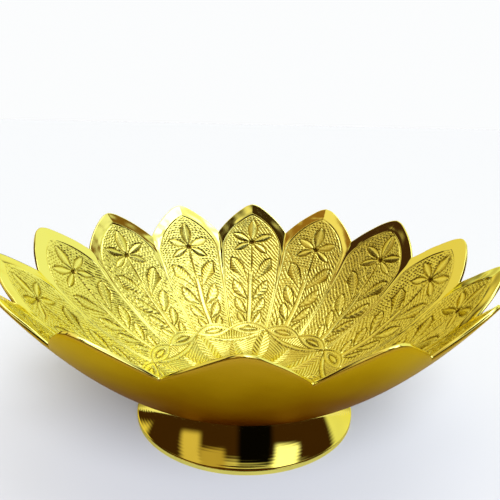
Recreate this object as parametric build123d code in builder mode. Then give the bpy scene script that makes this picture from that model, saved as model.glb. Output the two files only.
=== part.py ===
"""Footed lotus bowl in brass: a fourteen-petalled dish bolted to a flared foot.

The frame has +Z up and its origin at the centre of the face that the foot stands on.
One petal tip points along +Y. All lengths are in millimetres and all angles in degrees.
"""

import os
from math import atan, cos, degrees, radians, sin, tan

from build123d import *

# Driving dimensions of the dish
PETALS = 14
TIP_RADIUS = 76.0          # six inches across the petal tips
VALLEY_RADIUS = 68.2       # where two petals meet, on the outer skin
WALL = 1.5
BOWL_DEPTH_LINE = 5.93     # height at which the outer curve would reach the axis
BOWL_SQUARE_RISE = 42.1    # rise of the outer curve's square term at the tip radius
BOWL_FOURTH_RISE = 8.52    # rise of its fourth-power term at the tip radius
FLOOR_RADIUS = 20.0        # turned flat under the dish, where the foot is clamped
TIP_ROUND = 8.0            # radius of a petal's rounded point
FLANK_ROUND = 45.0         # radius of the gentle outward curve of a petal's flanks
VALLEY_ROUND = 0.6
BEVEL_WIDTH = 4.4          # polished bevel along the inside of the petal edges
BEVEL_DEPTH = 0.7
EDGE_ROUND = 0.25          # softened outer corner of the petal edges

# Driving dimensions of the foot
FOOT_RADIUS = 36.15
FOOT_BAND = 1.5            # height of the straight band at the foot's rim
BAND_ROUND = 0.3
FOOT_WALL = 1.2
INNER_BAND = 0.9           # height of the band on the hollow side of the foot
INNER_NECK_DROP = 1.9      # how far the hollow's shoulder lies below the neck
NECK_RADIUS = 29.3         # where the foot meets the dish
FLARE_SAG = 0.9            # how far the flare curves in from a straight cone
SEAT_GAP = 0.05            # clearance under the dish outside its clamped flat
WEB_HOLE_RADIUS = 4.5

# Fastener sizes, after the common M5 series
STUD_RADIUS = 2.5
STUD_LENGTH = 7.2
STUD_CHAMFER = 0.5
BRAZE_LEG = 1.1            # both legs of the braze fillet round the stud's root
BRAZE_SAG = 0.2            # hollow of the braze fillet's face
WASHER_RADIUS = 7.5
WASHER_HOLE_RADIUS = 2.65
WASHER_THICKNESS = 1.0
NUT_ACROSS_FLATS = 8.0
NUT_HEIGHT = 4.0
NUT_BORE_RADIUS = 2.55
NUT_CORNER_BEVEL = 0.4

PETAL_PITCH = 360.0 / PETALS


def skin_height(radius):
    """Height of the dish's outer skin at a radius."""
    share = radius / TIP_RADIUS
    return BOWL_DEPTH_LINE + BOWL_SQUARE_RISE * share**2 + BOWL_FOURTH_RISE * share**4


def skin_slope(radius):
    """Steepness angle of the outer skin at a radius, measured from level."""
    share = radius / TIP_RADIUS
    rise = 2 * BOWL_SQUARE_RISE * share + 4 * BOWL_FOURTH_RISE * share**3
    return degrees(atan(rise / TIP_RADIUS))


def skin_point(radius, inward=0.0):
    """(radius, height) of the skin at a radius, moved square to it into the hollow."""
    slope = radians(skin_slope(radius))
    return radius - inward * sin(slope), skin_height(radius) + inward * cos(slope)


FLOOR_HEIGHT = skin_height(FLOOR_RADIUS)
RIM_STATIONS = [FLOOR_RADIUS, 34.0, 48.0, 62.0, TIP_RADIUS + 1.5]


# ---- lotus_bowl: a turned shell with V notches cut between the petals ----

valley_slope = radians(skin_slope(VALLEY_RADIUS))
half_pitch = radians(PETAL_PITCH / 2)
tip_side = TIP_RADIUS * sin(half_pitch)
tip_out = TIP_RADIUS * cos(half_pitch) - VALLEY_RADIUS
tip_up = skin_height(TIP_RADIUS) - skin_height(VALLEY_RADIUS)
tip_rise = tip_out * cos(valley_slope) + tip_up * sin(valley_slope)


# Each flank is an arc through the valley that runs tangent into the round of the tip, so its
# centre lies FLANK_ROUND from the valley and FLANK_ROUND - TIP_ROUND from the tip's centre.
tip_centre = Vector(tip_side, tip_rise - TIP_ROUND)
along = (tip_centre.length**2 + 2 * FLANK_ROUND * TIP_ROUND - TIP_ROUND**2) / (2 * tip_centre.length)
across = (FLANK_ROUND**2 - along**2) ** 0.5
towards_tip = tip_centre.normalized()
flank_centre = towards_tip * along + Vector(towards_tip.Y, -towards_tip.X) * across
flank_end = flank_centre + (tip_centre - flank_centre).normalized() * FLANK_ROUND

# The notch is drawn square to the wall at the valley, half a pitch round from a petal tip.
valley_turn = 90 + PETAL_PITCH / 2
valley_plane = Plane(
    origin=Vector(VALLEY_RADIUS, 0, skin_height(VALLEY_RADIUS)).rotate(Axis.Z, valley_turn),
    x_dir=Vector(0, 1, 0).rotate(Axis.Z, valley_turn),
    z_dir=Vector(sin(valley_slope), 0, -cos(valley_slope)).rotate(Axis.Z, valley_turn),
)
NOTCH_CLEARANCE = 12.0
NOTCH_OVERLAP = 3.0        # neighbouring cuts overlap by this much past each tip


def skins(dish):
    """The dish's curved skins in order of area: the outer one is the largest."""
    return dish.faces().filter_by(GeomType.REVOLUTION).sort_by(SortBy.AREA)


def petal_edges(skin):
    """The edges of a skin that run round its petals, above the valleys."""
    return skin.edges().filter_by(lambda edge: edge.center().Z > skin_height(VALLEY_RADIUS))


with BuildPart() as notch:
    with BuildSketch(valley_plane) as notch_outline:
        with BuildLine():
            RadiusArc((0, 0), flank_end, FLANK_ROUND)
            RadiusArc(flank_end, (tip_side, tip_rise), TIP_ROUND)
            Polyline(
                (tip_side, tip_rise),
                (tip_side + NOTCH_OVERLAP, tip_rise),
                (tip_side + NOTCH_OVERLAP, tip_rise + NOTCH_CLEARANCE),
                (0, tip_rise + NOTCH_CLEARANCE),
            )
            mirror(about=Plane.YZ)
        make_face()
        fillet(notch_outline.vertices().sort_by(Axis.Y)[0], VALLEY_ROUND)
    extrude(amount=NOTCH_CLEARANCE, both=True)

with BuildPart() as lotus_bowl:
    with BuildSketch(Plane.XZ) as wall:
        with BuildLine():
            outer = Spline(*[skin_point(r) for r in RIM_STATIONS])
            inner = Spline(*[skin_point(r, WALL) for r in RIM_STATIONS])
            Line(outer @ 1, inner @ 1)
            Line(inner @ 0, (0, (inner @ 0).Y))
            Line((0, (inner @ 0).Y), (0, FLOOR_HEIGHT))
            Line((0, FLOOR_HEIGHT), outer @ 0)
        make_face()
    revolve(axis=Axis.Z)
    with PolarLocations(0, PETALS):
        add(notch.part, mode=Mode.SUBTRACT)
    inner_skin = skins(lotus_bowl)[-2]
    chamfer(petal_edges(inner_skin), BEVEL_WIDTH, BEVEL_DEPTH, reference=inner_skin)
    fillet(petal_edges(skins(lotus_bowl)[-1]), EDGE_ROUND)

# ---- pedestal_foot: a spun flared ring with a dished web that the dish sits in ----

SEAT_STATIONS = [NECK_RADIUS, 26.0, 23.0]
web_top = FLOOR_HEIGHT
web_bottom = web_top - FOOT_WALL
neck = (NECK_RADIUS, skin_height(NECK_RADIUS) - SEAT_GAP)
inner_neck = (NECK_RADIUS - FOOT_WALL, neck[1] - INNER_NECK_DROP)
band_top = (FOOT_RADIUS, FOOT_BAND)
inner_band = (FOOT_RADIUS - FOOT_WALL, 0)
inner_band_top = (FOOT_RADIUS - FOOT_WALL, INNER_BAND)

with BuildPart() as pedestal_foot:
    with BuildSketch(Plane.XZ):
        with BuildLine():
            Line(inner_band, (FOOT_RADIUS, 0))
            Line((FOOT_RADIUS, 0), band_top)
            SagittaArc(band_top, neck, FLARE_SAG)
            seat = [(r, skin_height(r) - SEAT_GAP) for r in SEAT_STATIONS]
            Spline(*seat, (FLOOR_RADIUS, web_top))
            Line((FLOOR_RADIUS, web_top), (WEB_HOLE_RADIUS, web_top))
            Line((WEB_HOLE_RADIUS, web_top), (WEB_HOLE_RADIUS, web_bottom))
            Line((WEB_HOLE_RADIUS, web_bottom), (FLOOR_RADIUS, web_bottom))
            Line((FLOOR_RADIUS, web_bottom), inner_neck)
            SagittaArc(inner_neck, inner_band_top, -FLARE_SAG)
            Line(inner_band_top, inner_band)
        make_face()
    revolve(axis=Axis.Z)
    band_corner = pedestal_foot.edges().filter_by(GeomType.CIRCLE).filter_by(
        lambda edge: edge.radius > FOOT_RADIUS - 0.01 and edge.center().Z > 0.5 * FOOT_BAND
    )
    fillet(band_corner, BAND_ROUND)


# ---- fixing_stud and stud_braze: a stud stood on the underside of the dish and brazed ----

with BuildPart() as fixing_stud:
    with BuildSketch(Plane.XY.offset(FLOOR_HEIGHT - STUD_LENGTH)):
        Circle(STUD_RADIUS)
    extrude(amount=STUD_LENGTH)
    chamfer(fixing_stud.edges().sort_by(Axis.Z)[0], STUD_CHAMFER)

with BuildPart() as stud_braze:
    with BuildSketch(Plane.XZ):
        with BuildLine():
            foot_of_fillet = (STUD_RADIUS, FLOOR_HEIGHT - BRAZE_LEG)
            edge_of_fillet = (STUD_RADIUS + BRAZE_LEG, FLOOR_HEIGHT)
            Line(foot_of_fillet, (STUD_RADIUS, FLOOR_HEIGHT))
            Line((STUD_RADIUS, FLOOR_HEIGHT), edge_of_fillet)
            SagittaArc(edge_of_fillet, foot_of_fillet, BRAZE_SAG)
        make_face()
    revolve(axis=Axis.Z)


# ---- clamp_washer and fixing_nut: they pull the foot's web up against the dish ----

with BuildPart() as clamp_washer:
    with BuildSketch(Plane.XY.offset(web_bottom - WASHER_THICKNESS)):
        Circle(WASHER_RADIUS)
        Circle(WASHER_HOLE_RADIUS, mode=Mode.SUBTRACT)
    extrude(amount=WASHER_THICKNESS)

nut_top = web_bottom - WASHER_THICKNESS
nut_corner_radius = NUT_ACROSS_FLATS / 2 / cos(radians(30))
bevel_rise = NUT_CORNER_BEVEL * tan(radians(30))

with BuildPart() as fixing_nut:
    with BuildSketch(Plane.XY.offset(nut_top - NUT_HEIGHT)):
        RegularPolygon(nut_corner_radius, 6)
    extrude(amount=NUT_HEIGHT)
    with BuildSketch(Plane.XZ):
        with BuildLine():
            Polyline(
                (0, nut_top - NUT_HEIGHT),
                (nut_corner_radius - NUT_CORNER_BEVEL, nut_top - NUT_HEIGHT),
                (nut_corner_radius, nut_top - NUT_HEIGHT + bevel_rise),
                (nut_corner_radius, nut_top),
                (0, nut_top),
                close=True,
            )
        make_face()
    revolve(axis=Axis.Z, mode=Mode.INTERSECT)
    with Locations((0, 0, nut_top)):
        Hole(NUT_BORE_RADIUS)


os.makedirs("parts", exist_ok=True)
PARTS = {
    "lotus_bowl": lotus_bowl,
    "pedestal_foot": pedestal_foot,
    "fixing_stud": fixing_stud,
    "stud_braze": stud_braze,
    "clamp_washer": clamp_washer,
    "fixing_nut": fixing_nut,
}
for name, piece in PARTS.items():
    piece.part.label = name
    export_step(piece.part, f"parts/{name}.step")
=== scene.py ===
"""Footed lotus bowl in brass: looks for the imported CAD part.

The dish is rebuilt as one closed mesh over the CAD dish, with its chased inside cut into the
surface: a medallion with a flower spray on each petal, and a ring of eyes and rays on the floor.
Lengths are in millimetres until a mesh is made, and patterns are laid out in (across, down)
coordinates: across from a petal's axis, and down the slope from the petal's tip.
"""

from math import cos, pi, radians, sin, sqrt

import bpy
import numpy as np
from mathutils import Matrix, Vector


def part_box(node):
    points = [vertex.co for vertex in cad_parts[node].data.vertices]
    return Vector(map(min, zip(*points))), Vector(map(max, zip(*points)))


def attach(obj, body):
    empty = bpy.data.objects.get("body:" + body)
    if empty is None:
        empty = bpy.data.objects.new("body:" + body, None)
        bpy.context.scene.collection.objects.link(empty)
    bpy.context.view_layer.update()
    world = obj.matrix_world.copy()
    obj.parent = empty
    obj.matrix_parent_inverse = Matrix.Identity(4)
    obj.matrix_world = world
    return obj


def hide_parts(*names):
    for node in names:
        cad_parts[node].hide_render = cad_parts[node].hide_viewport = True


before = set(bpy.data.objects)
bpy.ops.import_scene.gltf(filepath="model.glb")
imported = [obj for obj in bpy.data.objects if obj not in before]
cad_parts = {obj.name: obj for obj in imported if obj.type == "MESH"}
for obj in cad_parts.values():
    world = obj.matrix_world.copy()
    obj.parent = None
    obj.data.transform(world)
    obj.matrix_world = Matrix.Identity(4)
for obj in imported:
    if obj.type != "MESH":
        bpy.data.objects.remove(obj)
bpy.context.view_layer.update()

MM = 0.001
DRAFT = 1
rng = np.random.default_rng(14)

# ---- the dish's shape: the frame's box and the CAD's driving dimensions ----

PETALS = 14
PITCH = 2 * pi / PETALS
WALL = 1.5
TIP_RADIUS = 76.0
VALLEY_RADIUS = 68.2
FLOOR_RADIUS = 20.0
FLANK_ROUND = 45.0
TIP_ROUND = 8.0
BEVEL_SLOPE = 0.145        # how the polished border falls away from the medallion
RIM_ROUND = 0.14           # how far the rim's rounded edge swells
RIM_INSET = 0.15           # the outer skin starts this far inside the edge
SKIN_TERMS = (5.93, 42.1, 8.52)     # constant, square and fourth-power rise at the tip radius
FLOOR_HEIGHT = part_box("lotus_bowl")[0].z / MM

# The petals are cut by hand: how much each is trimmed at its tip, and how far its tip strays
# sideways. Petals are counted anticlockwise from the one on the +Y axis.
TRIMS = np.array((0.0, 0.1, 0.2, 0.1, 0.3, 0.7, 1.1, 0.9, 1.1, 0.8, 0.2, 0.1, 0.2, 0.1))
STRAYS = np.array((0.0, 0.3, -0.3, 0.2, 0.0, 0.4, -0.2, 1.8, -1.7, 0.3, 0.0, -0.4, 0.2, -0.2))


def skin_height(radius):
    """Height of the outer skin."""
    share = radius / TIP_RADIUS
    return SKIN_TERMS[0] + SKIN_TERMS[1] * share**2 + SKIN_TERMS[2] * share**4


def skin_slope(radius):
    """Steepness of the outer skin, in radians."""
    share = radius / TIP_RADIUS
    return np.arctan((2 * SKIN_TERMS[1] * share + 4 * SKIN_TERMS[2] * share**3) / TIP_RADIUS)


def petal_edge(turn):
    """Outer-skin radius of a petal's edge, at angles from the valley towards the tip. Seen
    square on to the skin, the edge is a flank arc that runs smoothly into a tip arc."""
    slope = skin_slope(VALLEY_RADIUS)
    tip_side = TIP_RADIUS * sin(PITCH / 2)
    tip_out = TIP_RADIUS * cos(PITCH / 2) - VALLEY_RADIUS
    tip_up = skin_height(TIP_RADIUS) - skin_height(VALLEY_RADIUS)
    tip_centre = np.array((tip_side, tip_out * cos(slope) + tip_up * sin(slope) - TIP_ROUND))
    reach = np.hypot(*tip_centre)
    along = (reach**2 + 2 * FLANK_ROUND * TIP_ROUND - TIP_ROUND**2) / (2 * reach)
    across = sqrt(FLANK_ROUND**2 - along**2)
    side, rise = tip_centre / reach
    flank_centre = np.array((side * along + rise * across, rise * along - side * across))
    joint = tip_centre - flank_centre
    # halve the gap between a radius surely inside the petal and one surely outside it
    low = np.full_like(turn, VALLEY_RADIUS - 2)
    high = np.full_like(turn, TIP_RADIUS + 1)
    for _ in range(30):
        middle = (low + high) / 2
        x = middle * np.sin(turn)
        up = skin_height(middle) - skin_height(VALLEY_RADIUS)
        y = (middle * np.cos(turn) - VALLEY_RADIUS) * cos(slope) + up * sin(slope)
        from_tip = np.hypot(x - tip_centre[0], y - tip_centre[1]) - TIP_ROUND
        from_flank = np.hypot(x - flank_centre[0], y - flank_centre[1]) - FLANK_ROUND
        in_tip_round = (x - flank_centre[0]) * joint[1] > (y - flank_centre[1]) * joint[0]
        inside = np.where(in_tip_round, from_tip, from_flank) < 0
        inside |= (x > tip_side) & (middle < TIP_RADIUS)
        low = np.where(inside, middle, low)
        high = np.where(inside, high, middle)
    return low


def rim_radius(petal, turns):
    """Outer-skin radius of the rim, where turns counts petal pitches from the petal's axis."""
    stray = STRAYS[petal] / (TIP_RADIUS * PITCH)
    shifted = turns - stray * (1 - 4 * turns**2)
    return petal_edge((0.5 - np.abs(shifted)) * PITCH) - TRIMS[petal] * (1 - 4 * turns**2)


# The inner skin is followed by its length of arc from the axis, from tables made here.
STATIONS = np.concatenate((
    np.linspace(0, FLOOR_RADIUS, 80, endpoint=False),
    np.linspace(FLOOR_RADIUS, TIP_RADIUS + 1, 700),
))
on_floor = STATIONS < FLOOR_RADIUS
station_slope = np.where(on_floor, 0.0, skin_slope(STATIONS))
floor_lean = WALL * sin(skin_slope(FLOOR_RADIUS)) / FLOOR_RADIUS
station_radius = np.where(
    on_floor, STATIONS * (1 - floor_lean), STATIONS - WALL * np.sin(station_slope)
)
floor_top = skin_height(FLOOR_RADIUS) + WALL * cos(skin_slope(FLOOR_RADIUS))
station_height = np.where(on_floor, floor_top, skin_height(STATIONS) + WALL * np.cos(station_slope))
station_arc = np.concatenate((
    [0], np.cumsum(np.hypot(np.diff(station_radius), np.diff(station_height)))
))
TIP_ARC = float(np.interp(TIP_RADIUS, STATIONS, station_arc))


def inner_skin(arc):
    """(radius, height, slope) of the inner skin at lengths of arc from the axis."""
    steps = np.linspace(-2.5, 2.5, 7)     # softens the turn from the floor into the wall
    radius = np.interp(arc, station_arc, station_radius)
    height = sum(np.interp(arc + s, station_arc, station_height) for s in steps) / len(steps)
    height = np.where(arc > 2 * FLOOR_RADIUS, np.interp(arc, station_arc, station_height), height)
    slope = sum(np.interp(arc + s, station_arc, station_slope) for s in steps) / len(steps)
    return radius, height, slope


# ---- pattern tools: cuts are heights below the plain skin ----

def ease(x):
    """Smooth step from 0 to 1."""
    x = np.clip(x, 0, 1)
    return x * x * (3 - 2 * x)


def ripple(x, y, wavelength, seed):
    """Smooth wandering between about -1 and 1."""
    waves = np.random.default_rng(seed)
    total = np.zeros_like(x)
    for _ in range(6):
        heading = waves.uniform(0, 2 * pi)
        rate = 2 * pi / (wavelength * waves.uniform(0.7, 1.5))
        total += np.sin((x * cos(heading) + y * sin(heading)) * rate + waves.uniform(0, 2 * pi))
    return total / 3


OUTLINE_WIDTH = 0.75       # grooves round the drawn shapes
OUTLINE_DEPTH = 0.5
VEIN_LEAN = 1.1            # how far a vein runs forward for each step sideways
BROAD_OUTLINE_DEPTH = 0.6
BROAD_LEAF_FALL = 0.3      # how far a broad leaf's face sinks at its edge
BROAD_LEAF_REACH = 2.6     # how far from its main vein the face is lowest
BROAD_VEIN_GAP = 1.35
CLEARED_DEPTH = 0.04       # the ground inside a broad leaf


def cut(distance, width, depth):
    """A graver's groove along distance 0."""
    return -depth * ease(1 - np.abs(distance) / (width / 2))


def close_to(spots, low, high):
    """Indices of the spots inside a box."""
    inside = (spots[:, 0] > low[0]) & (spots[:, 0] < high[0])
    inside &= (spots[:, 1] > low[1]) & (spots[:, 1] < high[1])
    return np.flatnonzero(inside)


def stroke(height, spots, path, width, depth):
    """Cuts a tapering groove along a path of points."""
    path = np.asarray(path, float)
    picked = close_to(spots, path.min(0) - width, path.max(0) + width)
    here = spots[picked]
    best = np.full(len(here), 1e9)
    share = np.zeros(len(here))
    for number, (a, b) in enumerate(zip(path[:-1], path[1:])):
        step = b - a
        t = np.clip((here - a) @ step / (step @ step), 0, 1)
        gap = np.hypot(*(here - a - t[:, None] * step).T)
        nearer = gap < best
        best[nearer] = gap[nearer]
        share[nearer] = (number + t[nearer]) / (len(path) - 1)
    taper = np.clip(np.sin(pi * np.clip(share, 0.08, 0.92)), 0, 1) ** 0.25
    height[picked] = np.minimum(height[picked], cut(best, width * taper, depth * taper))


def leaf(height, spots, base, tip, half_width, belly=0.5, bend=0.0, veins=0, slope=0.2,
         outline=OUTLINE_DEPTH, vein_depth=0.14):
    """Chisels a pointed leaf: an outline groove, and two faces falling from a middle ridge.

    belly is how far along the leaf is widest, bend how much it curves, veins their number on
    each side, and slope how far each face falls.
    """
    base, tip = np.asarray(base, float), np.asarray(tip, float)
    length = np.hypot(*(tip - base))
    forward = (tip - base) / length
    sideways = np.array((-forward[1], forward[0]))
    reach = half_width + abs(bend) * length + 0.6
    picked = close_to(spots, np.minimum(base, tip) - reach, np.maximum(base, tip) + reach)
    t = (spots[picked] - base) @ forward / length
    along = np.clip(t, 0, 1)
    side = (spots[picked] - base) @ sideways - 4 * bend * length * along * (1 - along)
    fullness = np.sin(pi * along ** (np.log(0.5) / np.log(belly)))
    edge = half_width * fullness**0.8
    share = np.abs(side) / np.maximum(edge, 0.01)
    face = -slope * np.minimum(share, 1) * np.clip(2 * fullness, 0, 1)
    if veins:
        slant = (t * length - VEIN_LEAN * np.abs(side)) / (length / veins)
        face = face + cut((slant % 1) - 0.5, 0.6, vein_depth) * np.clip(share * 4, 0, 1)
    inside = (t > 0) & (t < 1) & (share < 1)
    height[picked[inside]] = face[inside]
    gap = np.hypot(np.abs(side) - edge, np.maximum(np.abs(t - 0.5) - 0.5, 0) * length)
    height[picked] = np.minimum(height[picked], cut(gap, OUTLINE_WIDTH, outline))


def broad_leaf(height, spots, outline, vein):
    """Carves a leaf inside a drawn outline: its face falls away from the main vein."""
    outline = np.asarray(outline, float)
    picked = close_to(spots, outline.min(0), outline.max(0))
    x, y = spots[picked].T
    inside = np.zeros(len(picked), bool)
    for (ax, ay), (bx, by) in zip(outline, np.roll(outline, -1, axis=0)):
        crosses = (ay > y) != (by > y)
        inside ^= crosses & (x < ax + (bx - ax) * (y - ay) / (by - ay + 1e-9))
    picked = picked[inside]
    start, end = np.asarray(vein[0], float), np.asarray(vein[-1], float)
    forward = (end - start) / np.hypot(*(end - start))
    along = (spots[picked] - start) @ forward
    side = np.abs((spots[picked] - start) @ np.array((-forward[1], forward[0])))
    slant = (along + 0.9 * side) / BROAD_VEIN_GAP
    face = -CLEARED_DEPTH - BROAD_LEAF_FALL * ease(side / BROAD_LEAF_REACH)
    height[picked] = face + cut((slant % 1) - 0.5, 0.62, 0.17) * ease(side / 0.6)
    stroke(height, spots, outline, OUTLINE_WIDTH, BROAD_OUTLINE_DEPTH)
    stroke(height, spots, vein, 0.6, 0.34)


def punch(height, spots, centre, radius, depth):
    """A round punched dot."""
    picked = close_to(spots, np.asarray(centre) - radius, np.asarray(centre) + radius)
    gap = np.hypot(*(spots[picked] - centre).T)
    height[picked] = np.minimum(height[picked], -depth * ease(1.6 * (1 - gap / radius)))


# ---- the medallion on each petal ----

MEDALLION_TIP = 6.2        # down from the petal's tip
MEDALLION_FULL = 26.0      # where its pointed arch reaches its full width
ARCH_RADIUS = 22.5
ARCH_OFFSET = 9.3          # each side's arc is centred this far beyond the axis
RIB_HALF = 0.4             # half of the plain rib between two medallions at its foot
RIB_FLARE = 0.95           # how much more it has towards the rim
RIB_FLARE_FROM = 46        # radius where the rib starts to widen
RIB_FLARE_OVER = 16
ARCH_BLEND = 0.4           # rounds the corner where the arch runs into the rib
FLOWER_DOWN = 18.9
EYE_RADIUS = 31.0          # where the eyes lie at the feet of the petals
EYE_HALF = 2.5             # half of an eye's height
GROUND_DEPTH = 0.06        # the matted ground lies this much lower
HATCH_LEAN = 40            # degrees
HATCH_PITCH = 1.2
DASH_LENGTH = 3.4
TICK_PITCH = 2.4           # short cuts across the hatch
DOT_PITCH = 1.4
DOT_ROW_PITCH = 0.8        # rows of dots lie closer, as a share of the pitch
DOT_RADIUS = 0.56
DOT_DEPTH = 0.38

# The spray's three pairs of narrow leaves: down to where they join the stem, tip across and
# down, and half width.
NARROW_LEAVES = ((60.0, 4.6, 53.0, 1.2), (54.5, 5.8, 46.0, 1.6), (47.5, 7.0, 37.4, 2.0))
# The right one of its pair of broad leaves: outline and main vein.
BROAD_LEAF = (
    (1.0, 38.6), (2.6, 33.2), (3.7, 29.8), (6.2, 27.0), (8.9, 26.4), (8.7, 31.9), (5.5, 34.3),
    (1.0, 38.6),
)
BROAD_VEIN = ((8.0, 27.8), (5.8, 31.1), (2.2, 36.4))
# The flower's petals: tip across and down, and half width.
FLOWER_PETALS = (
    (-8.3, 14.6, 1.6), (8.6, 15.3, 1.6), (-7.4, 22.9, 1.4), (6.8, 23.6, 1.4),
    (0.2, MEDALLION_TIP + 1.6, 2.1),
)
STEM_HALF = 0.9

# How far each petal's hand-drawn spray sits off its place, across and down.
SPRAY_SHIFTS = np.array((
    (0, 0.1), (0.1, 1.6), (0, 0.9), (0.2, 0.3), (-0.4, 0.2), (0.3, -0.4), (0, 0.5),
    (0.4, 0), (-0.3, 0.4), (0.2, -0.2), (0.3, -0.3), (1.0, -1.0), (1.9, -0.4), (0.3, 1.4),
))


def arch_distance(across, down, radius):
    """Distance outwards from the medallion's outline, below zero inside it."""
    across = np.abs(across)
    arc = np.hypot(across + ARCH_OFFSET, np.minimum(down - MEDALLION_FULL, 0)) - ARCH_RADIUS
    flare = RIB_FLARE * ease((radius - RIB_FLARE_FROM) / RIB_FLARE_OVER)
    rib = across - (radius * PITCH / 2 - RIB_HALF - flare)
    return ARCH_BLEND * np.logaddexp(arc / ARCH_BLEND, rib / ARCH_BLEND)


def net(spots, petal, hatch_share):
    """The matted ground: slanting hatch in places, and rows of punched dots in others."""
    across, down = spots.T
    wander = 0.3 * ripple(across + 31 * petal, down, 9, 3)
    lean = radians(HATCH_LEAN) + 0.12 * np.sin(2.3 * petal)
    over = across * np.cos(lean) - down * np.sin(lean) + wander
    along = across * np.sin(lean) + down * np.cos(lean)
    row = np.floor(over / HATCH_PITCH)
    uneven = 0.75 + 0.25 * ripple(over + 50 * petal, along, 3, 6)
    lines = cut(((over / HATCH_PITCH) % 1 - 0.5) * HATCH_PITCH, 0.95, 0.3)
    dash = ((along + 1.7 * np.sin(2.6 * row)) / DASH_LENGTH) % 1
    lines = lines * (0.25 + 0.75 * ease(np.minimum(dash, 1 - dash) * 8))
    ticks = cut(((along / TICK_PITCH + 0.5 * row) % 1 - 0.5) * TICK_PITCH, 0.8, 0.2)
    hatch = np.minimum(lines, ticks) * uneven
    x = (across + 0.25 * np.sin(down * 2.9 + petal)) / DOT_PITCH
    y = (down + wander + 0.12 * np.sin(across * 3.7)) / (DOT_PITCH * DOT_ROW_PITCH)
    x = x + 0.5 * (np.floor(y) % 2)
    gap = np.hypot((x % 1 - 0.5) * DOT_PITCH, (y % 1 - 0.5) * DOT_PITCH * DOT_ROW_PITCH)
    dots = -DOT_DEPTH * ease(1.25 * (1 - gap / DOT_RADIUS)) * uneven
    return -GROUND_DEPTH + hatch_share * hatch + (1 - hatch_share) * dots


def spray(height, spots):
    """The flower on its stem, with four pairs of leaves."""
    for sign in (-1, 1):
        for join, tip_across, tip_down, width in NARROW_LEAVES:
            tip = (tip_across * sign, tip_down)
            leaf(height, spots, (0.4 * sign, join), tip, width,
                 belly=0.62, bend=0.07 * sign, veins=6, slope=0.24)
        outline, vein = ([(x * sign, y) for x, y in path] for path in (BROAD_LEAF, BROAD_VEIN))
        broad_leaf(height, spots, outline, vein)
    stem(height, spots)
    centre = np.array((0, FLOWER_DOWN))
    for tip_across, tip_down, width in FLOWER_PETALS:
        tip = np.array((tip_across, tip_down))
        start = centre + 0.08 * (tip - centre)
        leaf(height, spots, start, tip, width, belly=0.55, slope=0.34)
    punch(height, spots, centre, 1.35, 0.75)


def stem(height, spots):
    """A low ridge between two grooves, thinning to a single cut under the flower."""
    rod = np.abs(spots[:, 0])
    growth = ease((spots[:, 1] - 30) / 6) * ease((61 - spots[:, 1]) / 1.5)
    ridge = 0.1 - 0.3 * (rod / STEM_HALF) ** 2
    height[:] = np.where(rod < STEM_HALF, height + growth * (ridge - height), height)
    height[:] = np.minimum(height, cut(rod - 0.95, 0.6, 0.42) * growth)
    stroke(height, spots, [(0, FLOWER_DOWN + 1), (0.1, 27), (0, 34)], 1.2, 0.5)


def petal_cuts(petal, across, down, radius):
    """(height, plain share) over the petals. The share is 1 on the polished borders."""
    outline = arch_distance(across, down, radius)
    spots = np.column_stack((
        across - SPRAY_SHIFTS[petal, 0] + 0.22 * ripple(across + 17 * petal, down, 14, 1),
        down - SPRAY_SHIFTS[petal, 1] + 0.22 * ripple(across, down + 23 * petal, 14, 2),
    ))
    taste = rng.uniform(-0.4, 0.7, PETALS)      # for hatch rather than dots
    drift = 0.9 * ripple(across + 9 * petal, down, 22, 4)
    hatch_share = taste[petal] + drift + 0.05 * (down - MEDALLION_FULL)
    height = net(spots, petal, ease(2 * hatch_share))
    spray(height, spots)
    inside = ease((-outline - 0.2) / 0.4)
    # everything stops at the eye at the petal's foot
    eye_top = EYE_RADIUS + EYE_HALF * (1 - (2 * across / (radius * PITCH)) ** 2)
    foot = ease((radius - eye_top - 0.5) / 0.5)
    height = height * inside * foot
    height = np.minimum(height, cut(outline, 0.8, 0.36) * foot)
    bevel = -BEVEL_SLOPE * np.maximum(outline - 0.3, 0)
    wave = 0.08 * ripple(across + 40 * petal, down, 9, 5)
    height = height + np.where(outline > 0, bevel + wave * ease(outline / 2), 0)
    return height, ease((outline + 0.2) / 0.3)


# ---- the ring of eyes and rays on the floor ----

ARC_NODE = 31.6            # radius of the nodes where the big arcs meet
ARC_SAG = 5.6              # how much nearer the middle an arc is halfway along
ARC_HALF = 0.5             # half of the plain band along a big arc
ARC_GROOVE = 0.8           # its two grooves lie this far from its middle
HUB_RADIUS = 9.5


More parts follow.
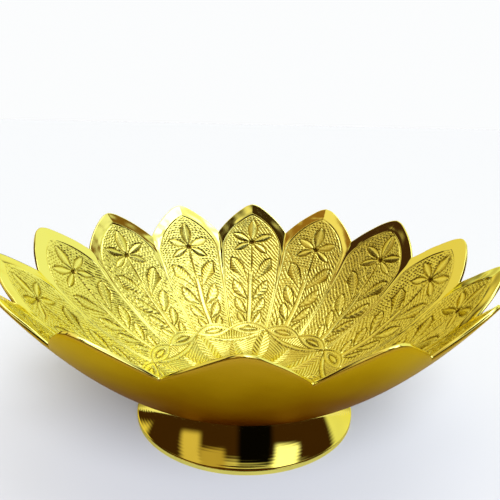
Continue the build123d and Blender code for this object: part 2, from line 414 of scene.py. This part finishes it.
def rays(ray_turn, node_turn, radius):
    """The big arcs, with a fan of strokes outside them, and hatch and leaves inside them."""
    ray_across = ray_turn * PITCH * radius
    node_across = node_turn * PITCH * radius
    arc_radius = ARC_NODE - ARC_SAG * (1 - np.abs(ray_turn) ** 2.4)
    fan = (radius > arc_radius) & (radius < EYE_RADIUS + 1)
    stripe = (ray_turn * 13 + 0.15 * (radius - arc_radius)) % 1 - 0.5
    height = np.where(fan, cut(stripe, 0.75, 0.3) - GROUND_DEPTH, 0.0)
    inner = (radius < arc_radius) & (radius > HUB_RADIUS)
    herring = (radius * 0.8 + 0.55 * np.abs(node_across)) % 1 - 0.5
    height = np.where(inner, cut(herring, 0.7, 0.28) - GROUND_DEPTH, height)
    # a leaf towards each node, and one towards the middle of each arc
    base = (0, HUB_RADIUS + 0.6)
    for sideways, end, width, belly, veins in (
        (node_across, ARC_NODE - 0.6, 2.9, 0.62, 12),
        (ray_across, ARC_NODE - ARC_SAG - 0.9, 2.3, 0.6, 9),
    ):
        spots = np.column_stack((sideways, radius))
        leaf(height, spots, base, (0, end), width, belly,
             veins=veins, slope=0.08, outline=0.16, vein_depth=0.28)
    # each arc is a plain band between two grooves
    for side in (-ARC_GROOVE, ARC_GROOVE):
        height = np.minimum(height, cut(radius - arc_radius - side, 0.65, 0.42))
    return np.where(np.abs(radius - arc_radius) < ARC_HALF, 0.0, height)


def eyes(height, turns, radius):
    """An eye at the foot of each petal: an outer outline, an inner one and a leaf."""
    share = np.abs(2 * turns)
    for size, width, depth in ((1.0, 0.7, 0.32), (0.55, 0.5, 0.26)):
        half = EYE_HALF * size * np.clip(1 - (share / (0.25 + 0.75 * size)) ** 2, 0, 1)
        gap = np.abs(radius - EYE_RADIUS) - half
        if size == 1.0:
            height = np.where(gap < 0, -0.05, height)
        groove = cut(gap, width, depth)
        height = np.where(half > 0.05, np.minimum(height, groove), height)
    spots = np.column_stack((turns * PITCH * radius, radius))
    leaf(height, spots, (-3.4, EYE_RADIUS), (3.4, EYE_RADIUS), 0.9)
    return height


def hub(height, node_turn, radius):
    """A rosette of leaves inside two rings, round a punched middle."""
    height = np.where(radius < HUB_RADIUS, 0, height)
    for ring in (HUB_RADIUS, HUB_RADIUS - 0.9):
        height = np.minimum(height, cut(radius - ring, 0.6, 0.3))
    spots = np.column_stack((node_turn * PITCH * radius, radius))
    leaf(height, spots, (0, 1.6), (0, HUB_RADIUS - 1.3), 1.7, belly=0.62)
    return np.minimum(height, -0.4 * ease(1.5 * (1 - radius / 1.2)))


def floor_cuts(petal, turns, radius):
    """Height over the floor, where turns counts petal pitches from a petal's axis."""
    ray_turn = ((petal + turns + 0.5) % 2) - 1       # 0 midway along a big arc, 1 at its nodes
    node_turn = ((petal + turns + 1.5) % 2) - 1      # 0 at a node
    height = rays(ray_turn, node_turn, radius)
    height = eyes(height, turns, radius)
    return hub(height, node_turn, radius)


# ---- the dish as one closed mesh ----

FULL_CUT = 0.52            # depth at which a cut is at its darkest
PETAL_COLUMNS = 96 // DRAFT
INSIDE_ROWS = 300 // DRAFT
OUTSIDE_ROWS = 60 // DRAFT
CHASED, SATIN = 0, 1       # the dish's two materials


class Rings:
    """Rings of points, each wound the same way. Each has a material, and the points have a cut
    share, 1 where they are cut deep, and a plain share, 1 where they are polished."""

    def __init__(self):
        self.points, self.materials, self.cuts, self.plains = [], [], [], []

    def add(self, points, material, cuts=0.0, plains=0.0):
        self.points.append(points)
        self.materials.append(material)
        self.cuts.append(np.full(len(points), cuts))
        self.plains.append(np.full(len(points), plains))


def ring_faces(low, low_count, high, high_count):
    """Faces between two rings, whose counts are equal or halve or double, wound so that they
    face out of the metal. low and high are the numbers of the rings' first points."""
    i = np.arange(min(low_count, high_count))
    j = (i + 1) % len(i)
    if low_count == high_count:
        return np.column_stack((low + i, high + i, high + j, low + j))
    if high_count > low_count:
        return np.column_stack((
            low + i, high + 2 * i, high + 2 * i + 1, high + (2 * i + 2) % high_count, low + j,
        ))
    return np.column_stack((
        low + 2 * i, high + i, high + j, low + (2 * i + 2) % low_count, low + 2 * i + 1,
    ))


def closed_faces(rings):
    """(faces, materials) in blocks: between the rings, then from the first and the last ring to
    two middle points that follow the rings' own."""
    counts = [len(points) for points in rings.points]
    starts = np.cumsum([0] + counts)
    faces = [
        ring_faces(starts[n], counts[n], starts[n + 1], counts[n + 1])
        for n in range(len(counts) - 1)
    ]
    i = np.arange(counts[0])
    faces.append(np.column_stack((i, (i + 1) % len(i), np.full(len(i), starts[-1]))))
    i = np.arange(counts[-1])
    low = starts[-2]
    middle = np.full(len(i), starts[-1] + 1)
    faces.append(np.column_stack((low + (i + 1) % len(i), low + i, middle)))
    materials = rings.materials[:-1] + [rings.materials[0], rings.materials[-1]]
    return faces, [np.full(len(block), kind) for block, kind in zip(faces, materials)]


def rings_to_mesh(name, rings, materials):
    """A closed mesh from rings, whose first and last are closed by a fan to their middle."""
    first, last = rings.points[0], rings.points[-1]
    points = np.concatenate((*rings.points, [first.mean(0), last.mean(0)]))
    faces, kinds = closed_faces(rings)
    sizes = np.concatenate([np.full(len(f), f.shape[1]) for f in faces])
    corners = np.concatenate([f.ravel() for f in faces])
    mesh = bpy.data.meshes.new(name)
    mesh.vertices.add(len(points))
    mesh.vertices.foreach_set("co", (points * MM).astype(np.float32).ravel())
    mesh.loops.add(len(corners))
    mesh.loops.foreach_set("vertex_index", corners.astype(np.int32))
    mesh.polygons.add(len(sizes))
    mesh.polygons.foreach_set("loop_start", (np.cumsum(sizes) - sizes).astype(np.int32))
    mesh.polygons.foreach_set("material_index", np.concatenate(kinds).astype(np.int32))
    mesh.polygons.foreach_set("use_smooth", np.ones(len(sizes), bool))
    mesh.update(calc_edges=True)
    mesh.validate()
    for material in materials:
        mesh.materials.append(material)
    for layer, values in (("cut", rings.cuts), ("plain", rings.plains)):
        padded = np.concatenate((*values, values[0][:1], values[-1][:1])).astype(np.float32)
        mesh.attributes.new(layer, "FLOAT", "POINT").data.foreach_set("value", padded)
    piece = bpy.data.objects.new(name, mesh)
    bpy.context.scene.collection.objects.link(piece)
    return piece


def around(count):
    """(azimuth, petal number, turns from the petal's axis) of the columns of a ring."""
    turns = np.arange(count) / count * PETALS - 0.5
    petal = np.round(turns + 1e-9)
    petal = np.where(turns - petal > 0.5, petal + 1, petal)
    return turns * PITCH + pi / 2, petal.astype(int) % PETALS, turns - petal


def place(azimuth, radius, height):
    """Points from their azimuths, radii and heights."""
    return np.column_stack((radius * np.cos(azimuth), radius * np.sin(azimuth), height))


def inside_grid(fine):
    """[azimuth, petal, turns, arc, row] of every point of the inside, row by row."""
    grid = []
    for row in range(1, INSIDE_ROWS + 1):
        arc_share = row / INSIDE_ROWS
        count = fine
        for limit in (32, 16, 8):      # fewer columns towards the middle
            if arc_share * TIP_ARC < limit:
                count //= 2
        azimuth, petal, turns = around(count)
        edge = rim_radius(petal, turns)
        arc = arc_share * np.interp(edge, STATIONS, station_arc)
        grid.append((azimuth, petal, turns, arc, np.full(count, row)))
    return [np.concatenate(part) for part in zip(*grid)]


def add_inside(rings, fine):
    """The chased inside, from the middle to the rim."""
    azimuth, petal, turns, arc, row = inside_grid(fine)
    radius, height, slope = inner_skin(arc)
    petal_height, plain = petal_cuts(petal, -turns * PITCH * radius, TIP_ARC - arc, radius)
    floor_height = floor_cuts(petal, turns, radius)
    eye_top = EYE_RADIUS + EYE_HALF * (1 - (2 * turns) ** 2)
    on_petal = radius > eye_top + 0.2
    relief = np.where(on_petal, petal_height, floor_height)
    plain = np.where(on_petal, plain, 0)
    points = place(azimuth, radius - relief * np.sin(slope), height + relief * np.cos(slope))
    cuts = np.clip(-relief / FULL_CUT, 0, 1) * (1 - plain)
    for number in range(1, INSIDE_ROWS + 1):
        mine = row == number
        rings.add(points[mine], CHASED, cuts[mine], plain[mine])


def add_rim(rings, fine):
    """The rounded edge, from the inside's last ring to the outer skin."""
    azimuth, petal, turns = around(fine)
    edge = rim_radius(petal, turns)
    slope = skin_slope(edge)
    inner_rim = rings.points[-1]
    outer_rim = place(azimuth, edge, skin_height(edge))
    outward = place(azimuth, np.cos(slope), np.sin(slope))
    for share in (0.12, 0.35, 0.65, 0.88):
        swell = RIM_ROUND * sin(pi * share) * outward
        ring = inner_rim + share * (outer_rim - inner_rim) + swell
        rings.add(ring, CHASED if share < 0.5 else SATIN, plains=1.0)


def add_outside(rings, fine):
    """The outer skin from the rim down, and then the flat under the floor."""
    for step in range(OUTSIDE_ROWS + 1):
        count = fine if step < 3 else fine // 2
        azimuth, petal, turns = around(count)
        edge = rim_radius(petal, turns) - RIM_INSET
        across = edge + (FLOOR_RADIUS - edge) * (step / OUTSIDE_ROWS)
        rings.add(place(azimuth, across, skin_height(across)), SATIN)
    for across in (14.0, 7.0, 3.0):
        count //= 2
        azimuth = around(count)[0]
        rings.add(place(azimuth, across, np.full(count, FLOOR_HEIGHT)), SATIN)


def build_dish(inside, outside):
    """The dish, chased inside and plain outside."""
    fine = PETAL_COLUMNS * PETALS
    rings = Rings()
    add_inside(rings, fine)
    add_rim(rings, fine)
    add_outside(rings, fine)
    return rings_to_mesh("lotus_dish", rings, (inside, outside))


# ---- the foot as one turned ring ----

FOOT_RADIUS = 36.15
FOOT_BAND = 1.5
FOOT_WALL = 1.2
INNER_BAND = 0.9
INNER_NECK_DROP = 1.9
NECK_RADIUS = 29.3
FLARE_SAG = 0.9            # how far the flare bows inwards
SEAT_GAP = 0.05            # clearance under the dish outside its flat
LIP_RADIUS = 0.32          # bright rounded lip where the foot meets the dish
WEB_HOLE_RADIUS = 4.5
CORNER_ROUND = 0.3         # on the band's upper corner
CORNER_CHAMFER = 0.1       # on its lower one
FLARE_POINTS = 90
FOOT_COLUMNS = 360 // DRAFT


def sag_curve(start, end, sag, count):
    """Points along a chord, bowed to its left."""
    start, end = np.asarray(start, float), np.asarray(end, float)
    share = np.linspace(0, 1, count)[:, None]
    chord = end - start
    left = np.array((-chord[1], chord[0])) / np.hypot(*chord)
    return start + share * chord + 4 * sag * share * (1 - share) * left


def foot_profile():
    """The ring's cross-section, anticlockwise, with turning marks low on the flare."""
    neck = (NECK_RADIUS, skin_height(NECK_RADIUS) - SEAT_GAP)
    band_top = (FOOT_RADIUS - CORNER_ROUND, FOOT_BAND)
    web_bottom = FLOOR_HEIGHT - FOOT_WALL
    flare = sag_curve(band_top, neck, FLARE_SAG, FLARE_POINTS)
    share = np.linspace(0, 1, FLARE_POINTS)
    marks = 0.0035 * np.sin(share * 95) + 0.0015 * np.sin(share * 231 + 1)
    chord = flare[-1] - flare[0]
    inward = np.array((-chord[1], chord[0])) / np.hypot(*chord)
    flare = flare + (marks * ease((0.55 - share) / 0.3) * ease(share / 0.05))[:, None] * inward
    turn = np.radians(np.linspace(-90, 60, 7))
    lip_round = LIP_RADIUS * np.column_stack((np.cos(turn), np.sin(turn)))
    lip = np.array(neck) - (0, LIP_RADIUS) + lip_round
    seat_radius = np.linspace(NECK_RADIUS - 0.35, FLOOR_RADIUS, 12)
    seat = np.column_stack((seat_radius, skin_height(seat_radius) - SEAT_GAP))
    seat[-1, 1] = FLOOR_HEIGHT
    inner_neck = (NECK_RADIUS - FOOT_WALL, neck[1] - INNER_NECK_DROP)
    inner_flare = sag_curve(inner_neck, (FOOT_RADIUS - FOOT_WALL, INNER_BAND), -FLARE_SAG, 24)
    corners = np.radians((0, 30, 60))
    band = np.column_stack((
        FOOT_RADIUS - CORNER_ROUND + CORNER_ROUND * np.cos(corners),
        FOOT_BAND - CORNER_ROUND + CORNER_ROUND * np.sin(corners),
    ))
    # the flare's last points give way to the lip
    return np.concatenate((
        [(FOOT_RADIUS - FOOT_WALL, 0), (FOOT_RADIUS - CORNER_CHAMFER, 0),
         (FOOT_RADIUS, CORNER_CHAMFER)],
        band, flare[:-3], lip, [(NECK_RADIUS - 0.06, neck[1] - 0.05)], seat,
        [(WEB_HOLE_RADIUS, FLOOR_HEIGHT), (WEB_HOLE_RADIUS, web_bottom),
         (FLOOR_RADIUS, web_bottom)], inner_flare,
    ))


def build_foot(finish):
    """The foot, turned from its cross-section."""
    profile = foot_profile()
    count, rows = FOOT_COLUMNS, len(profile)
    turn = np.arange(count) * 2 * pi / count
    points = np.concatenate([place(turn, r, np.full(count, z)) for r, z in profile])
    row, column = np.divmod(np.arange(rows * count), count)
    above, beside = (row + 1) % rows, (column + 1) % count
    faces = np.column_stack((row * count + column, row * count + beside,
                             above * count + beside, above * count + column))
    mesh = bpy.data.meshes.new("turned_foot")
    mesh.from_pydata((points * MM).tolist(), [], faces.tolist())
    mesh.polygons.foreach_set("use_smooth", np.ones(len(faces), bool))
    mesh.materials.append(finish)
    mesh.set_sharp_from_angle(angle=radians(40))     # keeps its corners crisp
    piece = bpy.data.objects.new("turned_foot", mesh)
    bpy.context.scene.collection.objects.link(piece)
    return piece


# ---- materials ----

class Nodes:
    """A small helper for writing a node tree. An input is given by its name, or by its number
    after a #, and its value may be another node's output."""

    def __init__(self, tree):
        self.tree = tree
        tree.nodes.clear()

    def add(self, kind, settings=None, **inputs):
        node = self.tree.nodes.new(kind)
        for name, value in (settings or {}).items():
            setattr(node, name, value)
        for name, value in inputs.items():
            self.set(node, name.replace("_", " "), value)
        return node

    def set(self, node, name, value):
        socket = node.inputs[int(name[1:])] if name[:1] == "#" else node.inputs[name]
        if isinstance(value, bpy.types.NodeSocket):
            self.tree.links.new(value, socket)
        else:
            socket.default_value = value

    def math(self, operation, a, b=0.0, c=0.0):
        node = self.add("ShaderNodeMath", {"operation": operation})
        for number, value in enumerate((a, b, c)):
            self.set(node, f"#{number}", value)
        return node.outputs[0]

    def blend(self, share, a, b):
        """Colour a where the share is 0, and b where it is 1."""
        node = self.add("ShaderNodeMix", {"data_type": "RGBA"})
        self.set(node, "#0", share)
        self.set(node, "#6", a)
        self.set(node, "#7", b)
        return node.outputs[2]

    def ramp(self, value, low, high):
        """0 below low and 1 above high, with a smooth step between."""
        node = self.add("ShaderNodeMapRange", {"interpolation_type": "SMOOTHSTEP"})
        self.set(node, "Value", value)
        self.set(node, "From Min", low)
        self.set(node, "From Max", high)
        return node.outputs[0]

    def noise(self, where, scale, detail):
        node = self.add("ShaderNodeTexNoise", Vector=where, Scale=scale, Detail=detail)
        return node.outputs[0]


def new_material(name):
    """(material, its nodes, the position on the object)"""
    material = bpy.data.materials.new(name)
    material.use_nodes = True
    nodes = Nodes(material.node_tree)
    where = nodes.add("ShaderNodeTexCoord").outputs["Object"]
    return material, nodes, where


def close_material(nodes, colour, roughness, bump_height, bump_distance, edge_tint):
    """Finishes a metal. The bump distance is in metres, and edge_tint is how it reflects at a
    glancing angle."""
    shader = nodes.add("ShaderNodeBsdfPrincipled", Metallic=1.0)
    nodes.set(shader, "Specular Tint", edge_tint)
    nodes.set(shader, "Base Color", colour)
    nodes.set(shader, "Roughness", roughness)
    bump = nodes.add("ShaderNodeBump", Strength=1.0, Distance=bump_distance)
    nodes.set(bump, "Height", bump_height)
    nodes.set(shader, "Normal", bump.outputs[0])
    output = nodes.add("ShaderNodeOutputMaterial")
    nodes.tree.links.new(shader.outputs[0], output.inputs[0])


LEMON_BRASS = (0.97, 0.93, 0.27, 1)
OLIVE_BRASS = (0.60, 0.50, 0.07, 1)
# colour at the bottom of the deepest cuts, which turn darker with depth
DEEPEST_CUT_COLOUR = (0.13, 0.075, 0.01, 1)
CHASED_EDGE = (1, 0.92, 0.5, 1)        # the chased brass at a glancing angle
# Painted shade: the satin's colour and glancing tint are darker towards the foot, standing in for
# the shaded floor it reflects there.
PAINTED_SHADE_SATIN = (0.12, 0.036, 0.002, 1)
BRIGHT_SATIN = (0.52, 0.31, 0.022, 1)
PAINTED_SHADE_EDGE = (0.70, 0.46, 0.18, 1)      # the satin at a glancing angle, in its painted shade low and lit high
BRIGHT_EDGE = (1, 0.97, 0.38, 1)
SATIN_SHADE_LOW, SATIN_SHADE_HIGH = 0.026, 0.058   # heights in metres between which the satin's painted shade fades to its lit colour
MIRROR_BRASS = (0.94, 0.83, 0.17, 1)   # the foot
STUD_BRASS = (0.75, 0.55, 0.2, 1)
BRAZE = (0.62, 0.42, 0.18, 1)
PLATED_STEEL = (0.62, 0.6, 0.53, 1)
TURNED_EDGE = (1, 0.85, 0.4, 1)        # the turned metals at a glancing angle


def chased_brass():
    """Inside of the dish: burnished high ground, darker cuts, mirror-bright borders."""
    material, nodes, where = new_material("chased_brass")
    cuts = nodes.add("ShaderNodeAttribute", {"attribute_name": "cut"}).outputs["Fac"]
    plain = nodes.add("ShaderNodeAttribute", {"attribute_name": "plain"}).outputs["Fac"]
    mottle = nodes.ramp(nodes.noise(where, 180, 3), 0.3, 0.7)
    cuts = nodes.math("MULTIPLY", cuts, nodes.math("MULTIPLY_ADD", mottle, 0.3, 0.85))
    colour = nodes.blend(nodes.ramp(cuts, 0.12, 0.6), LEMON_BRASS, OLIVE_BRASS)
    colour = nodes.blend(nodes.ramp(cuts, 0.55, 0.95), colour, DEEPEST_CUT_COLOUR)
    grain = nodes.noise(where, 1500, 3)
    worked = nodes.math("MULTIPLY_ADD", grain, 0.12, 0.17)
    bright = nodes.math("MULTIPLY_ADD", grain, 0.05, 0.035)
    difference = nodes.math("SUBTRACT", bright, worked)
    roughness = nodes.math("MULTIPLY_ADD", plain, difference, worked)
    tooling = nodes.math("MULTIPLY", grain, nodes.math("MULTIPLY_ADD", plain, -0.9, 1.0))
    close_material(nodes, colour, roughness, tooling, 0.00006, edge_tint=CHASED_EDGE)
    return material


def satin_brass():
    """Outside of the dish: a soft satin, mottled, with painted shade that darkens it towards the
    foot.
    """
    material, nodes, where = new_material("satin_brass")
    mottle = nodes.noise(where, 60, 4)
    height = nodes.add("ShaderNodeSeparateXYZ", Vector=where).outputs[2]
    height = nodes.math("MULTIPLY_ADD", nodes.math("SUBTRACT", mottle, 0.5), 0.012, height)
    # painted shade: darker colour and glancing tint low on the skin
    share = nodes.ramp(height, SATIN_SHADE_LOW, SATIN_SHADE_HIGH)
    colour = nodes.blend(share, PAINTED_SHADE_SATIN, BRIGHT_SATIN)
    edge_tint = nodes.blend(share, PAINTED_SHADE_EDGE, BRIGHT_EDGE)
    grain = nodes.noise(where, 2600, 2)
    roughness = nodes.math("MULTIPLY_ADD", mottle, 0.08, 0.33)
    close_material(nodes, colour, roughness, grain, 0.00002, edge_tint)
    return material


def turned_metal(name, tint, rough, line_depth):
    """A turned metal, with fine lines round the axis and a faint smear."""
    material, nodes, where = new_material(name)
    x, y, z = nodes.add("ShaderNodeSeparateXYZ", Vector=where).outputs
    squares = nodes.math("ADD", nodes.math("MULTIPLY", x, x), nodes.math("MULTIPLY", y, y))
    radius = nodes.math("SQRT", squares)
    ring = nodes.add("ShaderNodeCombineXYZ", X=radius, Z=z).outputs[0]
    lines = nodes.noise(ring, 2200, 4)
    smear = nodes.ramp(nodes.noise(where, 90, 2), 0.35, 0.8)
    colour = nodes.blend(smear, tint, tuple(c * 0.9 for c in tint[:3]) + (1,))
    roughness = nodes.math("MULTIPLY_ADD", lines, 0.06, rough)
    close_material(nodes, colour, roughness, lines, line_depth, edge_tint=TURNED_EDGE)
    return material


# ---- pieces ----

dish = build_dish(chased_brass(), satin_brass())
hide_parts("lotus_bowl")
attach(dish, "root")

mirror_brass = turned_metal("mirror_brass", MIRROR_BRASS, rough=0.015, line_depth=0.000002)
foot = build_foot(mirror_brass)
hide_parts("pedestal_foot")
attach(foot, "root")

# The fixings are shown as the CAD made them.
finishes = {
    "fixing_stud": turned_metal("turned_brass", STUD_BRASS, rough=0.25, line_depth=0.00002),
    "stud_braze": turned_metal("braze_metal", BRAZE, rough=0.4, line_depth=0.00006),
    "clamp_washer": turned_metal("plated_washer", PLATED_STEEL, rough=0.25, line_depth=0.00002),
    "fixing_nut": turned_metal("plated_nut", PLATED_STEEL, rough=0.25, line_depth=0.00002),
}
for name, finish in finishes.items():
    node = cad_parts[name]
    node.data.materials.clear()
    node.data.materials.append(finish)


# ---- studio ----

# The room that the brass reflects: dim warm walls under a pale ceiling, which is warmer on the
# left. Azimuths are in degrees, from the camera's side towards its right.
WALL_SHADE = (0.045, 0.018, 0.005, 1)
CEILING_LEFT = (0.92, 0.76, 0.38, 1)
CEILING_RIGHT = (1.0, 1.0, 0.8, 1)
CEILING_RISE = (38, 58)            # elevations between which the walls turn into the ceiling
CEILING_TURN = (-0.4, 0.3)         # sideways headings between which the ceiling turns paler
PANEL_FADE = 9                     # width of a panel's soft edge
# Two pale walls, tall panels and a dark flag round the bowl: azimuth of the middle, half width,
# lowest and highest elevation, and colour.
PANELS = (
    (143, 40, -20, 52, (0.9, 0.92, 0.62)),       # pale wall behind, on the right
    (-146, 36, 11, 52, (0.80, 0.66, 0.27)),      # cream wall behind, on the left
    (-58, 11, 14, 52, (0.7, 0.54, 0.24)),        # panel on the left
    (-34, 14, 32, 62, (0.5, 0.36, 0.13)),        # small panel beside the camera
    (50, 13, 26, 60, (1.7, 1.75, 1.7)),          # panel on the right
    (14, 19, -20, 50, (0.002, 0.0015, 0.001)),   # flag round the camera
)
# Round lamps and flags overhead: azimuth, elevation, inner and outer half angle, and colour.
SPOTS = (
    (57, 68, 3.5, 7, (3.6, 3.7, 3.9)),
    (102, 70, 4, 12, (4.0, 4.0, 4.0)),
    (60, 83, 5, 13, (3.0, 3.0, 3.1)),
    (16, 69, 7, 15, (0.04, 0.02, 0.006)),
    (-113, 47, 6, 14, (0.05, 0.02, 0.01)),
    (118, 47, 3, 8, (0.2, 0.1, 0.02)),
    (-78, 60, 4, 9, (0.3, 0.14, 0.03)),
)
KEY_LIGHT = (10, 36)               # azimuth and elevation of the soft light over the camera
KEY_BRIGHTNESS = 6.4
KEY_WIDTH = 44                     # degrees across, so that its shadow is soft
KEY_COLOUR = (0.90, 0.94, 1.0)     # cool, so that the floor stays white under the warm ceiling
BACKDROP = (0.97, 0.98, 0.985, 1)  # as bright as the open floor
FLOOR_COLOUR = (0.52, 0.53, 0.57, 1)
FLOOR_SIZE = 12
CAMERA_PLACE = (4.2, -156.3, 96.3)
CAMERA_TURN = (-1.27, -14.77, 1.23)     # yaw, pitch and roll, in degrees
CAMERA_LENS = 36.62


def panel_share(nodes, heading, azimuth, half_width, lowest, highest):
    """1 inside a tall soft-edged panel, 0 outside it."""
    half_fade = radians(PANEL_FADE) / 2
    a = radians(azimuth)
    x, y, z = heading

    def towards(x_share, y_share):
        parts = [nodes.math("MULTIPLY", x, x_share), nodes.math("MULTIPLY", y, y_share)]
        return nodes.math("ADD", *parts)

    def past(angle, degrees):
        return nodes.ramp(angle, radians(degrees) - half_fade, radians(degrees) + half_fade)

    ahead, beside = towards(sin(a), -cos(a)), towards(cos(a), sin(a))
    turn = nodes.math("ABSOLUTE", nodes.math("ARCTAN2", beside, ahead))
    rise = nodes.math("ARCSINE", z)
    beyond, above, over = past(turn, half_width), past(rise, lowest), past(rise, highest)
    share = nodes.math("MULTIPLY", nodes.math("SUBTRACT", 1.0, beyond), above)
    return nodes.math("MULTIPLY", share, nodes.math("SUBTRACT", 1.0, over))


def spot_share(nodes, heading, azimuth, elevation, inner, outer):
    """1 inside a round patch of the room, fading to 0 between two half angles in degrees."""
    a, e = radians(azimuth), radians(elevation)
    dot = nodes.add("ShaderNodeVectorMath", {"operation": "DOT_PRODUCT"})
    nodes.set(dot, "#0", heading)
    nodes.set(dot, "#1", (sin(a) * cos(e), -cos(a) * cos(e), sin(e)))
    return nodes.ramp(dot.outputs["Value"], cos(radians(outer)), cos(radians(inner)))


def studio_world():
    """A pale backdrop for the camera, and the studio's room for everything else."""
    world = bpy.data.worlds.new("studio")
    bpy.context.scene.world = world
    world.use_nodes = True
    nodes = Nodes(world.node_tree)
    heading = nodes.add("ShaderNodeTexCoord").outputs["Generated"]
    path = nodes.add("ShaderNodeLightPath")
    x, y, z = nodes.add("ShaderNodeSeparateXYZ", Vector=heading).outputs
    ceiling = nodes.blend(nodes.ramp(x, *CEILING_TURN), CEILING_LEFT, CEILING_RIGHT)
    low, high = (sin(radians(rise)) for rise in CEILING_RISE)
    room = nodes.blend(nodes.ramp(z, low, high), WALL_SHADE, ceiling)
    for *panel, colour in PANELS:
        room = nodes.blend(panel_share(nodes, (x, y, z), *panel), room, (*colour, 1))
    for *spot, colour in SPOTS:
        room = nodes.blend(spot_share(nodes, heading, *spot), room, (*colour, 1))
    colour = nodes.blend(path.outputs["Is Camera Ray"], room, BACKDROP)
    background = nodes.add("ShaderNodeBackground", Strength=1.0, Color=colour)
    output = nodes.add("ShaderNodeOutputWorld")
    nodes.tree.links.new(background.outputs[0], output.inputs[0])


def key_light():
    """The soft light over the camera. It lights the floor but doesn't show in the brass."""
    azimuth, elevation = (radians(angle) for angle in KEY_LIGHT)
    data = bpy.data.lights.new("key_light", "SUN")
    data.energy = KEY_BRIGHTNESS
    data.angle = radians(KEY_WIDTH)
    data.color = KEY_COLOUR
    light = bpy.data.objects.new("key_light", data)
    light.visible_glossy = False
    light.rotation_euler = (pi / 2 - elevation, 0, azimuth)
    bpy.context.scene.collection.objects.link(light)


def pale_floor():
    """One plain pale floor, running out into the backdrop."""
    bpy.ops.mesh.primitive_plane_add(size=FLOOR_SIZE)
    floor = bpy.context.object
    floor.name = "studio_floor"
    material, nodes, _ = new_material("pale_floor")
    diffuse = nodes.add("ShaderNodeBsdfDiffuse", Color=FLOOR_COLOUR)
    output = nodes.add("ShaderNodeOutputMaterial")
    nodes.tree.links.new(diffuse.outputs[0], output.inputs[0])
    floor.data.materials.append(material)


def aim_camera():
    """A camera held close over the bowl's front edge, turned and rolled a little."""
    yaw, pitch, roll = (radians(angle) for angle in CAMERA_TURN)
    forward = Vector((sin(yaw) * cos(pitch), cos(yaw) * cos(pitch), sin(pitch)))
    right = Vector((cos(yaw), -sin(yaw), 0))
    up = right.cross(forward)
    right, up = right * cos(roll) + up * sin(roll), up * cos(roll) - right * sin(roll)
    data = bpy.data.cameras.new("camera")
    data.sensor_width = 36
    data.lens = CAMERA_LENS
    data.clip_start = 0.01
    camera = bpy.data.objects.new("camera", data)
    turn = Matrix((right, up, -forward)).transposed().to_4x4()
    camera.matrix_world = Matrix.Translation(Vector(CAMERA_PLACE) * MM) @ turn
    bpy.context.scene.collection.objects.link(camera)
    bpy.context.scene.camera = camera


studio_world()
key_light()
pale_floor()
aim_camera()
bpy.context.scene.view_settings.view_transform = "Standard"
